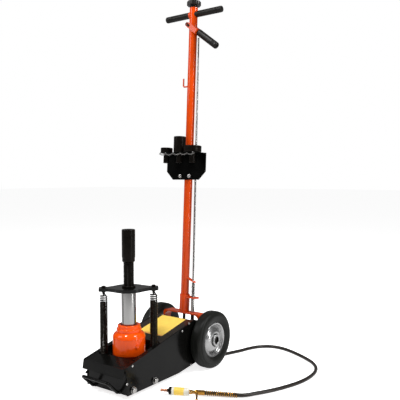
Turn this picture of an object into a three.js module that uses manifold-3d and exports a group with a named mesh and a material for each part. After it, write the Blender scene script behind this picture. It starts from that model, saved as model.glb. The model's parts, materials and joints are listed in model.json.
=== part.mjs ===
// Air-over-hydraulic truck jack on two wheels, with a tall locking handle.
// Millimetres, +Z up. The origin is on the floor under the ram's axis, +X is the width
// and +Y runs back to the wheels and the handle.
import * as THREE from 'three';
import { mergeVertices } from 'three/addons/utils/BufferGeometryUtils.js';
import Module from 'manifold-3d';

const wasm = await Module();
wasm.setup();

// ---------------------------------------------------------------- driving dimensions
const GAP = 0.3;                 // clearance between pieces that touch

const WHEEL_RADIUS = 100;
const TYRE_WIDTH = 48.6;
const WHEEL_X = 117.5;           // middle of each tyre
const AXLE_Y = 298;
const AXLE_Z = WHEEL_RADIUS;
const AXLE_RADIUS = 10;
const HUB_END = 26;              // outer end of the hub, from the middle of the tyre

const FRAME_HALF = 89;           // outer face of a side plate
const PLATE = 5;                 // side plate thickness
const SHEET = 3;                 // cover thickness
const FRAME_BOTTOM = 13;
const EDGE_HEIGHT = 124.8;       // top edge of the side plates at the ram
const EDGE_SLOPE = 0.2185;
const LIP_FRONT = -121.5;        // front cover's lip
const COVER_FRONT = 62;
const COVER_REAR = 236;
const INSIDE = FRAME_HALF - PLATE - 0.4;

const RAM_RADIUS = 24;
const RAM_BOTTOM = 128;
const PLATE_BOTTOM = 310.5;      // spring plate, ram fully out
const PLATE_TOP = 321;
const SCREW_RADIUS = 17.2;
const SCREW_BOTTOM = 275;
const SCREW_TOP = 402;
const ADAPTER_RADIUS = 21.8;
const ADAPTER_TOP = 509;
const SPIGOT_RADIUS = 11;
const RESERVOIR_RADIUS = 53;
const RESERVOIR_BOTTOM = 105;
const NUT_BOTTOM = 178.3;
const NUT_TOP = 200;

const SPRING_X = 59;             // return springs stand at (+x, +y) and (-x, -y)
const SPRING_Y = 55;
const SPRING_RADIUS = 11.7;
const SPRING_BOTTOM = 92;
const SPRING_TOP = 295;

const HANDLE_LEAN = 0.0553;      // radians back from upright
const HANDLE_Y = -8;             // handle axis, from the axle, in the handle's own frame
const TUBE_RADIUS = 15;
const TUBE_INSIDE = 12.5;
const TUBE_TOP = 1203.5;
const STRAP_TOP = 85;
const STRAP = 5.2;
const BAR_Z = 1178;              // T-bar
const BAR_RADIUS = 9;
const BAR_GRIP_RADIUS = 11.4;
const BAR_GRIP_END = 126;
const RELEASE_RADIUS = 5.5;

const LOCK_X = 38;               // foot of the lock rod
const LOCK_Z = 57.2;
const LOCK_TOP_X = 25.5;
const LOCK_TOP_Z = 1092;
const PIN_RADIUS = 6.6;
const LUG_Z = 137;

const LEVER_X = -9;              // lever's pivot
const LEVER_Z = 1136;
const LEVER_DROOP = 0.646;
const LEVER_GRIP_RADIUS = 12.4;

const TRAY_BOTTOM = 567.6;
const TRAY_BEND = 597.5;
const TRAY_TOP = 661;
const TRAY_HALF = 88.5;
const TRAY_ADAPTER_Y = -63.8;

const HOSE_RADIUS = 6;
const FITTING_START = new THREE.Vector3(346, 113, 8.7);
const FITTING_ANGLE = 29.5;        // degrees, heading of the fittings on the floor
const FITTING_RISE = 1.41;       // degrees

// ---------------------------------------------------------------- finishes
function finish(color, roughness, metalness) {
  return { color, roughness, metalness };
}

const ORANGE = finish(0xd8490b, 0.3, 0.1);
const BLACK_GLOSS = finish(0x222222, 0.25, 0.2);
const COVER_GREY = finish(0x4a4340, 0.35, 0.2);
const BLACK_STEEL = finish(0x171512, 0.45, 0.6);
const SPRING_STEEL = finish(0x1d1a16, 0.45, 0.7);
const CHROME = finish(0xb4b6b8, 0.2, 1);
const ZINC = finish(0xc8c8c8, 0.3, 1);
const RUBBER = finish(0x1f211f, 0.75, 0);
const FOAM = finish(0x1c1c1c, 0.7, 0);
const CAST = finish(0x5a1208, 0.45, 0.3);
const BRASS = finish(0xb98a47, 0.3, 1);
const WHITE_BOWL = finish(0xece8dc, 0.35, 0);
const HOSE_RUBBER = finish(0x241c18, 0.45, 0);
const SEAL = finish(0x101010, 0.6, 0);

// ---------------------------------------------------------------- solid helpers
function solid(geometry) {
  const bare = geometry.clone();
  bare.deleteAttribute('normal');
  bare.deleteAttribute('uv');
  const merged = mergeVertices(bare, 1e-4);
  const index = merged.index.array;
  const triangles = [];
  for (let i = 0; i < index.length; i += 3) {
    const [a, b, c] = [index[i], index[i + 1], index[i + 2]];
    if (a !== b && b !== c && c !== a) triangles.push(a, b, c);
  }
  const make = (list) => new wasm.Manifold(new wasm.Mesh({
    numProp: 3,
    vertProperties: new Float32Array(merged.attributes.position.array),
    triVerts: new Uint32Array(list),
  }));
  const result = make(triangles);
  if (result.volume() > 0) return result;
  const flipped = [];
  for (let i = 0; i < triangles.length; i += 3) {
    flipped.push(triangles[i], triangles[i + 2], triangles[i + 1]);
  }
  return make(flipped);
}

function geometryOf(manifold) {
  const mesh = manifold.getMesh();
  const count = mesh.vertProperties.length / mesh.numProp;
  const positions = new Float32Array(count * 3);
  for (let i = 0; i < count; i += 1) {
    for (let k = 0; k < 3; k += 1) {
      positions[3 * i + k] = mesh.vertProperties[mesh.numProp * i + k];
    }
  }
  const geometry = new THREE.BufferGeometry();
  geometry.setAttribute('position', new THREE.BufferAttribute(positions, 3));
  geometry.setIndex(new THREE.BufferAttribute(new Uint32Array(mesh.triVerts), 1));
  geometry.computeVertexNormals();
  return geometry;
}

function piece(parent, name, manifold, look) {
  const mesh = new THREE.Mesh(geometryOf(manifold), new THREE.MeshStandardMaterial(look));
  mesh.name = name;
  parent.add(mesh);
  return mesh;
}

// A block between two corners.
function block(x0, x1, y0, y1, z0, z1) {
  const geometry = new THREE.BoxGeometry(x1 - x0, y1 - y0, z1 - z0);
  geometry.translate((x0 + x1) / 2, (y0 + y1) / 2, (z0 + z1) / 2);
  return solid(geometry);
}

const TURN = {
  x: (geometry) => geometry.rotateZ(-Math.PI / 2),
  y: (geometry) => geometry,
  z: (geometry) => geometry.rotateX(Math.PI / 2),
};

// A round bar from start to end along one axis, through (a, b) on the other two.
function bar(axis, radius, start, end, a, b, sides = 20, endRadius = radius) {
  const geometry = new THREE.CylinderGeometry(endRadius, radius, end - start, sides);
  TURN[axis](geometry);
  const middle = (start + end) / 2;
  const place = { x: [middle, a, b], y: [a, middle, b], z: [a, b, middle] }[axis];
  geometry.translate(...place);
  return solid(geometry);
}

function tube(axis, outer, inner, start, end, a, b, sides = 28) {
  const shell = bar(axis, outer, start, end, a, b, sides);
  return shell.subtract(bar(axis, inner, start - 1, end + 1, a, b, sides));
}

// A profile of [radius, height] points, turned about the Z axis and closed on itself.
function turned(profile, sides = 32) {
  const points = profile.map(([radius, height]) => new THREE.Vector2(radius, height));
  const onAxis = profile[0][0] === 0 && profile[profile.length - 1][0] === 0;
  if (!onAxis) points.push(points[0].clone());
  const geometry = new THREE.LatheGeometry(points, sides);
  geometry.rotateX(Math.PI / 2);
  return solid(geometry);
}

function outline(points) {
  return new THREE.Shape(points.map(([a, b]) => new THREE.Vector2(a, b)));
}

function extruded(shape, depth, curveSegments = 7) {
  return new THREE.ExtrudeGeometry(shape, { depth, bevelEnabled: false, curveSegments });
}

// A plate whose outline is drawn in Y and Z, from x0 to x1.
function plateYZ(shape, x0, x1) {
  const geometry = extruded(shape, x1 - x0);
  const basis = new THREE.Matrix4().makeBasis(
    new THREE.Vector3(0, 1, 0), new THREE.Vector3(0, 0, 1), new THREE.Vector3(1, 0, 0));
  geometry.applyMatrix4(basis);
  geometry.translate(x0, 0, 0);
  return solid(geometry);
}

// A plate whose outline is drawn in X and Z, from y0 to y1.
function plateXZ(shape, y0, y1) {
  const geometry = extruded(shape, y1 - y0);
  geometry.rotateX(Math.PI / 2);
  geometry.translate(0, y1, 0);
  return solid(geometry);
}

// A plate whose outline is drawn in X and Y, from z0 to z1.
function plateXY(shape, z0, z1) {
  const geometry = extruded(shape, z1 - z0);
  geometry.translate(0, 0, z0);
  return solid(geometry);
}

// A straight-sided route whose corners are rounded.
function roundedRoute(points, radius) {
  const corners = points.map(([x, y, z]) => new THREE.Vector3(x, y, z));
  const route = new THREE.CurvePath();
  let from = corners[0];
  for (let i = 1; i < corners.length - 1; i += 1) {
    const before = corners[i].clone().add(
      corners[i - 1].clone().sub(corners[i]).setLength(radius));
    const after = corners[i].clone().add(
      corners[i + 1].clone().sub(corners[i]).setLength(radius));
    route.add(new THREE.LineCurve3(from, before));
    route.add(new THREE.QuadraticBezierCurve3(before, corners[i], after));
    from = after;
  }
  route.add(new THREE.LineCurve3(from, corners[corners.length - 1]));
  return route;
}

function swept(route, radius, steps, sides = 12) {
  const section = new THREE.Shape();
  for (let i = 0; i <= sides; i += 1) {
    const angle = (2 * Math.PI * i) / sides;
    const point = [radius * Math.cos(angle), radius * Math.sin(angle)];
    if (i === 0) section.moveTo(...point);
    else section.lineTo(...point);
  }
  const settings = { extrudePath: route, steps, bevelEnabled: false };
  return solid(new THREE.ExtrudeGeometry(section, settings));
}

// Height of the side plates' sloping top edge.
function edge(y) {
  return EDGE_HEIGHT + EDGE_SLOPE * y;
}

const jack = new THREE.Group();

// ---------------------------------------------------------------- frame
const BOLT_PLACES = [[-78, 26], [23, 26]];   // [y, z] on each side plate
const BOLT_RADIUS = 5;

function sidePlate(side) {
  const profile = outline([
    [-101, FRAME_BOTTOM], [150, FRAME_BOTTOM], [240, 24], [326, 38], [338, 60],
    [338, 108], [322, 132], [262, 158], [COVER_REAR, edge(COVER_REAR)],
    [-113, edge(-113)], [-103, 64],
  ]);
  const flange = outline([
    [-60, edge(-60)], [50, edge(50)], [50, edge(50) - 4], [-60, edge(-60) - 4]].reverse());
  const inner = FRAME_HALF - PLATE;
  const spans = side > 0 ? [inner, FRAME_HALF] : [-FRAME_HALF, -inner];
  const flangeSpan = side > 0 ? [73, inner + 1] : [-inner - 1, -73];
  let plate = plateYZ(profile, ...spans).add(plateYZ(flange, ...flangeSpan));
  plate = plate.subtract(
    bar('x', AXLE_RADIUS + GAP, spans[0] - 1, spans[1] + 1, AXLE_Y, AXLE_Z, 32));
  for (const [y, z] of BOLT_PLACES) {
    plate = plate.subtract(bar('x', BOLT_RADIUS + 0.4, spans[0] - 1, spans[1] + 1, y, z));
  }
  return plate;
}

piece(jack, 'side_plate_right', sidePlate(1), BLACK_GLOSS);
piece(jack, 'side_plate_left', sidePlate(-1), BLACK_GLOSS);

function frontCover() {
  const lip = outline([
    [LIP_FRONT, 69.5], [-118.5, 69.2], [-113.4, 99.6], [-116.4, 99.2]]);
  const deck = outline([
    [-115.6, 95.6], [-62, edge(-62) - 1 - SHEET], [-62, edge(-62) - 1], [-116, 98.4]]);
  const sheet = plateYZ(lip, -FRAME_HALF, FRAME_HALF).add(plateYZ(deck, -INSIDE, INSIDE));
  return sheet.subtract(bar('z', 16.5, 60, 140, -SPRING_X, -SPRING_Y, 32));
}

piece(jack, 'front_cover', frontCover(), BLACK_GLOSS);
piece(jack, 'front_plate', block(-INSIDE, INSIDE, -100.4, -97.4, 13.6, 92), BLACK_GLOSS);

function topCover() {
  const top = (y) => edge(y) - 1;
  const profile = outline([
    [COVER_FRONT, top(COVER_FRONT) - 16], [COVER_FRONT + SHEET, top(COVER_FRONT) - 16],
    [COVER_FRONT + SHEET, top(COVER_FRONT + SHEET) - SHEET],
    [COVER_REAR - SHEET, top(COVER_REAR - SHEET) - SHEET],
    [COVER_REAR - SHEET, top(COVER_REAR) - 13], [COVER_REAR, top(COVER_REAR) - 13],
    [COVER_REAR, top(COVER_REAR)], [COVER_FRONT, top(COVER_FRONT)],
  ]);
  const sheet = plateYZ(profile, -INSIDE, INSIDE);
  return sheet.subtract(bar('z', 15.5, 90, 170, SPRING_X, SPRING_Y, 32));
}

piece(jack, 'top_cover', topCover(), COVER_GREY);

const GLAND_X = 70;
const GLAND_Z = 32;
const CROSSBAR_REAR = 326;

function rearCrossbar() {
  const panel = block(-INSIDE, INSIDE, CROSSBAR_REAR - 6, CROSSBAR_REAR, 39.5, 72);
  const tongue = block(50, INSIDE, CROSSBAR_REAR - 6, CROSSBAR_REAR, 20, 40);
  const hole = bar('y', 6.4, CROSSBAR_REAR - 8, CROSSBAR_REAR + 2, GLAND_X, GLAND_Z);
  return panel.add(tongue).subtract(hole);
}

piece(jack, 'rear_crossbar', rearCrossbar(), BLACK_GLOSS);

// Curved plate with a web: the lock pin's holes lie on an arc about the axle.
function detentQuadrant() {
  const outer = 56;
  const inner = 52;
  const first = -0.16;
  const last = 1.45;
  const steps = 18;
  const rim = [];
  for (let i = 0; i <= steps; i += 1) {
    const angle = first + ((last - first) * i) / steps;
    rim.push([AXLE_Y + outer * Math.sin(angle), AXLE_Z + outer * Math.cos(angle)]);
  }
  for (let i = steps; i >= 0; i -= 1) {
    const angle = first + ((last - first) * i) / steps;
    rim.push([AXLE_Y + inner * Math.sin(angle), AXLE_Z + inner * Math.cos(angle)]);
  }
  const web = rim.slice(0, steps + 1);
  web.push([AXLE_Y + 40, 86], [CROSSBAR_REAR, 73], [CROSSBAR_REAR - 6 - GAP, 72.5]);
  web.push([CROSSBAR_REAR - 6 - GAP, 42]);
  web.push([AXLE_Y - 6, 60], [AXLE_Y - 12, 100]);
  let plate = plateYZ(outline(rim), 26, 52).add(plateYZ(outline(web), 48, 52));
  for (const angle of [-0.085, 0.6, 1.2]) {
    const hole = new THREE.CylinderGeometry(7.4, 7.4, 20, 20);
    hole.rotateX(Math.PI / 2);
    hole.translate(0, 0, 54);
    hole.rotateX(-angle);
    hole.translate(LOCK_X - 0.5, AXLE_Y, AXLE_Z);
    plate = plate.subtract(solid(hole));
  }
  return plate;
}

piece(jack, 'detent_quadrant', detentQuadrant(), BLACK_STEEL);

const FRONT_HANDLE_HALF = 53;
const frontHandleRoute = roundedRoute([
  [-FRONT_HANDLE_HALF, -100.8, 20], [-FRONT_HANDLE_HALF, -110, 20],
  [-FRONT_HANDLE_HALF, -149, 60], [FRONT_HANDLE_HALF, -149, 60],
  [FRONT_HANDLE_HALF, -110, 20], [FRONT_HANDLE_HALF, -100.8, 20],
], 8);
piece(jack, 'front_handle', swept(frontHandleRoute, 4.8, 30, 10), BLACK_GLOSS);

// ---------------------------------------------------------------- hydraulic unit
// Release shaft: from the valve in the base up towards the handle's foot.
const SHAFT_START = new THREE.Vector3(0, 46, 28);
const SHAFT_END = new THREE.Vector3(0, 274, 93);

function alongShaft(radius) {
  const length = SHAFT_END.distanceTo(SHAFT_START);
  const shaft = new THREE.CylinderGeometry(radius, radius, length, 16);
  shaft.rotateX(Math.atan2(SHAFT_END.z - SHAFT_START.z, SHAFT_END.y - SHAFT_START.y));
  const middle = SHAFT_START.clone().add(SHAFT_END).multiplyScalar(0.5);
  shaft.translate(middle.x, middle.y, middle.z);
  return solid(shaft);
}

const CYLINDER_RADIUS = 30;
const BORE_FLOOR = 14;
const ANCHOR_RADIUS = 5;

function baseBlock() {
  let body = block(-INSIDE, INSIDE, -94, 66, FRAME_BOTTOM + 0.4, 42);
  body = body.add(block(-58, 58, -64, 52, 0, FRAME_BOTTOM + 2));
  body = body.add(bar('z', 54, 41, RESERVOIR_BOTTOM - GAP, 0, 0, 36));
  for (const side of [1, -1]) {
    body = body.add(
      bar('z', ANCHOR_RADIUS, 41, SPRING_BOTTOM - GAP, side * SPRING_X, side * SPRING_Y));
    for (const [y, z] of BOLT_PLACES) {
      const hole = side > 0 ? [INSIDE - 22, INSIDE + 1] : [-INSIDE - 1, -INSIDE + 22];
      body = body.subtract(bar('x', BOLT_RADIUS + 0.4, ...hole, y, z));
    }
  }
  body = body.subtract(bar('z', CYLINDER_RADIUS + 0.4, BORE_FLOOR, 120, 0, 0, 32));
  return body.subtract(alongShaft(5.5).translate([0, -0.5, 0]));
}

piece(jack, 'base_block', baseBlock(), CAST);

function baseBolt(side, y, z) {
  const head = new THREE.CylinderGeometry(9.6, 9.6, 6.5, 6);
  head.rotateZ(Math.PI / 2);
  head.translate(side * (FRAME_HALF + GAP + 5.5), y, z);
  const washer = side > 0
    ? bar('x', 11, FRAME_HALF + GAP, FRAME_HALF + GAP + 2.6, y, z)
    : bar('x', 11, -FRAME_HALF - GAP - 2.6, -FRAME_HALF - GAP, y, z);
  const shank = side > 0
    ? bar('x', BOLT_RADIUS, INSIDE - 18, FRAME_HALF + 3, y, z)
    : bar('x', BOLT_RADIUS, -FRAME_HALF - 3, -INSIDE + 18, y, z);
  return solid(head).add(washer).add(shank);
}

for (const [side, label] of [[1, 'right'], [-1, 'left']]) {
  BOLT_PLACES.forEach(([y, z], i) => {
    piece(jack, `base_bolt_${label}_${i + 1}`, baseBolt(side, y, z), ZINC);
  });
}

piece(jack, 'reservoir', turned([
  [47, RESERVOIR_BOTTOM], [RESERVOIR_RADIUS, RESERVOIR_BOTTOM], [RESERVOIR_RADIUS, 162],
  [51.5, 167], [47.5, 172], [42, 176.5], [40.4, NUT_BOTTOM - GAP],
  [33.2, NUT_BOTTOM - GAP], [37, 173], [44, 166], [47, 160],
], 36).subtract(bar('x', 4.3, 40, 60, 0, 0, 12).rotate([0, 0, -17]).translate([0, 0, 138])), ORANGE);

const plug = bar('x', 4, 49.5, 54, 0, 0, 16).add(bar('x', 6.5, 53.4, 57, 0, 0, 16));
piece(jack, 'filler_plug', plug.rotate([0, 0, -17]).translate([0, 0, 138]), SEAL);

piece(jack, 'top_nut', turned([
  [RAM_RADIUS + 0.4, 170.3], [32.7, 170.3], [32.7, NUT_BOTTOM], [40.4, NUT_BOTTOM],
  [40.4, 188.4], [36.5, 190], [36.5, NUT_TOP - 2], [34.5, NUT_TOP],
  [RAM_RADIUS + 0.4, NUT_TOP],
], 36), ORANGE);

piece(jack, 'pressure_cylinder', tube(
  'z', CYLINDER_RADIUS, RAM_RADIUS + 0.5, BORE_FLOOR + GAP, 170, 0, 0, 32), BLACK_STEEL);

function ram() {
  let body = bar('z', RAM_RADIUS, RAM_BOTTOM, PLATE_BOTTOM - GAP, 0, 0, 36);
  body = body.add(bar('z', 21, PLATE_BOTTOM - 2, PLATE_TOP - 0.2, 0, 0, 32));
  return body.subtract(bar('z', SCREW_RADIUS + 0.4, 192, 330, 0, 0, 32));
}

piece(jack, 'ram', ram(), CHROME);
piece(jack, 'piston_seal', tube(
  'z', RAM_RADIUS + 0.2, 17, RAM_BOTTOM - 8.5, RAM_BOTTOM - GAP, 0, 0, 28), SEAL);

// Round middle with two arms that reach out over the springs.
function springPlate() {
  const along = Math.atan2(SPRING_Y, SPRING_X);
  const discRadius = 55;
  const armHalf = 15.5;
  const reach = 96;
  const arms = outline([
    [-reach, -armHalf + 4], [-reach + 4, -armHalf], [reach - 4, -armHalf],
    [reach, -armHalf + 4], [reach, armHalf - 4], [reach - 4, armHalf],
    [-reach + 4, armHalf], [-reach, armHalf - 4]]);
  const waist = outline([
    [-66, -16], [-44, -33], [44, -33], [66, -16], [66, 16], [44, 33], [-44, 33], [-66, 16]]);
  let plate = plateXY(arms, PLATE_BOTTOM, PLATE_TOP);
  plate = plate.add(plateXY(waist, PLATE_BOTTOM, PLATE_TOP));
  plate = plate.rotate([0, 0, THREE.MathUtils.radToDeg(along)]);
  plate = plate.add(bar('z', discRadius, PLATE_BOTTOM, PLATE_TOP, 0, 0, 40));
  plate = plate.subtract(bar('z', 21.4, 300, 330, 0, 0, 32));
  for (const side of [1, -1]) {
    plate = plate.subtract(bar('z', 4.4, 300, 330, side * SPRING_X, side * SPRING_Y));
  }
  return plate;
}

piece(jack, 'spring_plate', springPlate(), BLACK_GLOSS);
piece(jack, 'ram_collar', turned([
  [SCREW_RADIUS + 0.4, PLATE_TOP + GAP], [22, PLATE_TOP + GAP], [22, PLATE_TOP + 4],
  [20.5, PLATE_TOP + 5.4], [SCREW_RADIUS + 0.4, PLATE_TOP + 5.4],
], 32), BLACK_STEEL);

const SCREW_BORE = SPIGOT_RADIUS + 0.4;
piece(jack, 'extension_screw', turned([
  [0, SCREW_BOTTOM], [SCREW_RADIUS - 1.5, SCREW_BOTTOM], [SCREW_RADIUS, SCREW_BOTTOM + 2],
  [SCREW_RADIUS, SCREW_TOP - 2], [SCREW_RADIUS - 1.5, SCREW_TOP], [SCREW_BORE, SCREW_TOP],
  [SCREW_BORE, SCREW_TOP - 32], [0, SCREW_TOP - 32],
], 32), BLACK_STEEL);

piece(jack, 'extension_adapter', turned([
  [0, SCREW_TOP - 29], [SPIGOT_RADIUS, SCREW_TOP - 29], [SPIGOT_RADIUS, SCREW_TOP + GAP],
  [17.5, SCREW_TOP + GAP], [20.8, SCREW_TOP + 4], [20.8, SCREW_TOP + 16],
  [ADAPTER_RADIUS, SCREW_TOP + 18], [ADAPTER_RADIUS, ADAPTER_TOP - 1],
  [ADAPTER_RADIUS - 1, ADAPTER_TOP], [SCREW_BORE, ADAPTER_TOP],
  [SCREW_BORE, ADAPTER_TOP - 30], [0, ADAPTER_TOP - 30],
], 32), BLACK_STEEL);

for (const [side, label] of [[1, 'rear'], [-1, 'front']]) {
  const x = side * SPRING_X;
  const y = side * SPRING_Y;
  piece(jack, `return_spring_${label}`, tube(
    'z', SPRING_RADIUS, SPRING_RADIUS - 3.2, SPRING_BOTTOM, SPRING_TOP, x, y, 24),
  SPRING_STEEL);
  const pin = bar('z', 4, SPRING_TOP + GAP, PLATE_TOP + 1, x, y, 16)
    .add(bar('z', 7, PLATE_TOP + GAP, PLATE_TOP + 5.5, x, y, 6))
    .add(bar('z', 6.5, PLATE_BOTTOM - 5, PLATE_BOTTOM - GAP, x, y, 6));
  piece(jack, `spring_pin_${label}`, pin, BLACK_STEEL);
}

const MOTOR_X = -45;
const MOTOR_Z = 74;
piece(jack, 'air_motor', bar('y', 33, 72, 176, MOTOR_X, MOTOR_Z, 36)
  .add(bar('y', 14, 60, 74, MOTOR_X, MOTOR_Z, 24))
  .add(bar('y', 36, 168, 180, MOTOR_X, MOTOR_Z, 36))
  .add(bar('y', 8, 178, 198, MOTOR_X, MOTOR_Z, 16))
  .subtract(bar('z', 60, 40, 108, 0, 0, 32)), ZINC);

piece(jack, 'release_shaft', alongShaft(5), ZINC);

// ---------------------------------------------------------------- wheels
const HALF_TYRE = TYRE_WIDTH / 2;
const TYRE_PROFILE = [
  [60, -15], [70, -22.5], [80, -HALF_TYRE], [90, -23.6], [97, -19.5], [WHEEL_RADIUS, -9],
  [WHEEL_RADIUS, 9], [97, 19.5], [90, 23.6], [80, HALF_TYRE], [70, 22.5], [60, 15],
];
const RIM_PROFILE = [
  [AXLE_RADIUS + 0.4, -23.5], [20.5, -23.5], [20.5, 3], [44, 3], [48, -16.5],
  [59.6, -16.5], [59.6, -14], [51, -11], [51, 11], [59.6, 14], [59.6, 16.5], [56, 16.5],
  [46, 8], [30, 7], [20.5, 10], [20.5, HUB_END], [12.8, HUB_END], [12.8, 15.5],
  [AXLE_RADIUS + 0.4, 15.5],
];

function wheelPart(profile, side) {
  const part = turned(profile, 36).rotate([0, 90 * side, 0]);
  return part.translate([side * WHEEL_X, AXLE_Y, AXLE_Z]);
}

function stubAxle(side) {
  const shank = bar('x', AXLE_RADIUS, 74, WHEEL_X + 21, 0, 0, 32);
  const head = bar('x', 15, 68, 77.6, 0, 0, 24);
  const stub = shank.add(head).rotate([0, 0, side > 0 ? 0 : 180]);
  return stub.translate([0, AXLE_Y, AXLE_Z]);
}

for (const [side, label] of [[1, 'right'], [-1, 'left']]) {
  piece(jack, `tyre_${label}`, wheelPart(TYRE_PROFILE, side), RUBBER);
  piece(jack, `rim_${label}`, wheelPart(RIM_PROFILE, side), ZINC);
  piece(jack, `stub_axle_${label}`, stubAxle(side), ZINC);
}

// ---------------------------------------------------------------- handle
// The handle's own frame starts at the axle, with its Z along the tube.
const handle = new THREE.Group();
handle.position.set(0, AXLE_Y, AXLE_Z);
handle.rotation.x = -HANDLE_LEAN;
jack.add(handle);

// X of the lock rod's axis at a height.
function lockX(z) {
  return LOCK_X + ((LOCK_TOP_X - LOCK_X) * (z - LOCK_Z)) / (LOCK_TOP_Z - LOCK_Z);
}

const YOKE_HALF = 83;
const YOKE_FRONT = -27;
const YOKE_REAR = 11;

function handleYoke() {
  const arch = new THREE.Shape();
  const inner = YOKE_HALF - PLATE;
  const under = STRAP_TOP - STRAP;
  arch.moveTo(-YOKE_HALF, 0);
  arch.lineTo(-inner, 0);
  arch.lineTo(-inner, under - 22);
  arch.absarc(-inner + 22, under - 22, 22, Math.PI, Math.PI / 2, true);
  arch.absarc(inner - 22, under - 22, 22, Math.PI / 2, 0, true);
  arch.lineTo(inner, 0);
  arch.lineTo(YOKE_HALF, 0);
  arch.absarc(YOKE_HALF - 12, STRAP_TOP - 12, 12, 0, Math.PI / 2, false);
  arch.absarc(-YOKE_HALF + 12, STRAP_TOP - 12, 12, Math.PI / 2, Math.PI, false);
  let yoke = plateXZ(arch, YOKE_FRONT, YOKE_REAR);
  for (const [start, end] of [[inner, YOKE_HALF], [-YOKE_HALF, -inner]]) {
    yoke = yoke.add(bar('x', 19, start, end, 0, 0, 32));
    yoke = yoke.subtract(bar('x', AXLE_RADIUS + GAP, start - 1, end + 1, 0, 0, 32));
  }
  yoke = yoke.subtract(bar('z', 8, 60, 100, 0, HANDLE_Y, 24));
  return yoke.subtract(bar('z', PIN_RADIUS + 0.9, 60, 100, lockX(STRAP_TOP), HANDLE_Y, 24));
}

piece(handle, 'handle_yoke', handleYoke(), ORANGE);

function handleSocket() {
  const collar = tube('z', 18.5, TUBE_RADIUS + 0.3, STRAP_TOP + GAP, 148, 0, HANDLE_Y, 32);
  const tab = new THREE.Shape();
  tab.moveTo(16.5, HANDLE_Y - 13);
  tab.lineTo(49, HANDLE_Y - 13);
  tab.absarc(49, HANDLE_Y, 13, -Math.PI / 2, Math.PI / 2, false);
  tab.lineTo(16.5, HANDLE_Y + 13);
  const gusset = outline([[17, LUG_Z + 3], [32, LUG_Z + 3], [18.2, 147.5], [17, 147.5]]);
  let socket = collar.add(plateXY(tab, LUG_Z, LUG_Z + 4.5).subtract(
    bar('z', TUBE_RADIUS + 0.3, 80, 160, 0, HANDLE_Y, 32)));
  socket = socket.add(plateXZ(gusset, HANDLE_Y - 2, HANDLE_Y + 2));
  return socket.subtract(
    bar('z', PIN_RADIUS + 0.7, LUG_Z - 5, LUG_Z + 10, lockX(LUG_Z), HANDLE_Y, 24));
}

piece(handle, 'handle_socket', handleSocket(), ORANGE);

const GUIDE_Z = 194;
const HOOK_Z = 914;

function handleTube() {
  let body = bar('z', TUBE_RADIUS, STRAP_TOP + 2, TUBE_TOP, 0, HANDLE_Y, 28);
  const clip = outline([
    [12, GUIDE_Z + 12], [45, GUIDE_Z - 1.8], [45, GUIDE_Z + 1.8], [12, GUIDE_Z + 15.6]]);
  body = body.add(plateXZ(clip, HANDLE_Y - 8, HANDLE_Y + 8)).subtract(
    bar('z', 4.4, GUIDE_Z - 6, GUIDE_Z + 14, lockX(GUIDE_Z), HANDLE_Y, 16));
  const hook = roundedRoute([
    [-13, HANDLE_Y, HOOK_Z], [-37, HANDLE_Y, HOOK_Z], [-37, HANDLE_Y, HOOK_Z + 31]], 5);
  body = body.add(swept(hook, 2.8, 12, 8));
  body = body.subtract(bar('z', TUBE_INSIDE, 0, TUBE_TOP + 1, 0, HANDLE_Y, 24));
  body = body.subtract(bar('x', BAR_RADIUS + GAP, -20, 20, HANDLE_Y, BAR_Z, 24));
  return body.subtract(
    bar('y', 2.8, HANDLE_Y - 20, HANDLE_Y + 20, LEVER_X, LEVER_Z, 12));
}

piece(handle, 'handle_tube', handleTube(), ORANGE);

const tBar = bar('x', BAR_RADIUS, -BAR_GRIP_END + 5, BAR_GRIP_END - 5, HANDLE_Y, BAR_Z, 24)
  .subtract(bar('z', RELEASE_RADIUS + 0.4, BAR_Z - 15, BAR_Z + 15, 0, HANDLE_Y, 20));
piece(handle, 't_bar', tBar, ORANGE);

function barGrip(side, start) {
  const outer = bar('x', BAR_GRIP_RADIUS, start, BAR_GRIP_END, 0, 0, 28);
  const bore = bar('x', BAR_RADIUS + GAP, start - 1, BAR_GRIP_END - 4.7, 0, 0, 24);
  const grip = outer.subtract(bore).rotate([0, 0, side > 0 ? 0 : 180]);
  return grip.translate([0, HANDLE_Y, BAR_Z]);
}

piece(handle, 'bar_grip_right', barGrip(1, 15.6), FOAM);
piece(handle, 'bar_grip_left', barGrip(-1, 24), FOAM);

function releaseKnob() {
  const lobes = 10;
  const steps = 40;
  const wave = [];
  for (let i = 0; i < steps; i += 1) {
    const angle = (2 * Math.PI * i) / steps;
    const radius = 25 + 0.9 * Math.cos(lobes * angle);
    wave.push([radius * Math.cos(angle), HANDLE_Y + radius * Math.sin(angle)]);
  }
  let knob = plateXY(outline(wave), 1206.5, 1225);
  knob = knob.add(bar('z', 23.5, 1224, 1228.5, 0, HANDLE_Y, 28, 19));
  knob = knob.add(bar('z', 13.5, TUBE_TOP + 0.4, 1207, 0, HANDLE_Y, 32));
  return knob.subtract(
    bar('z', RELEASE_RADIUS + 0.3, TUBE_TOP - 2, 1214, 0, HANDLE_Y, 20));
}

piece(handle, 'release_knob', releaseKnob(), BLACK_GLOSS);
piece(handle, 'release_rod', bar('z', RELEASE_RADIUS, 16, 1213, 0, HANDLE_Y, 16), ZINC);

// Lock rod: a pin at the foot, a thin rod up to the lever.
function lockGroup() {
  const group = new THREE.Group();
  group.position.set(LOCK_X, HANDLE_Y, LOCK_Z);
  group.rotation.y = Math.atan2(LOCK_TOP_X - LOCK_X, LOCK_TOP_Z - LOCK_Z);
  handle.add(group);
  return group;
}

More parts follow.
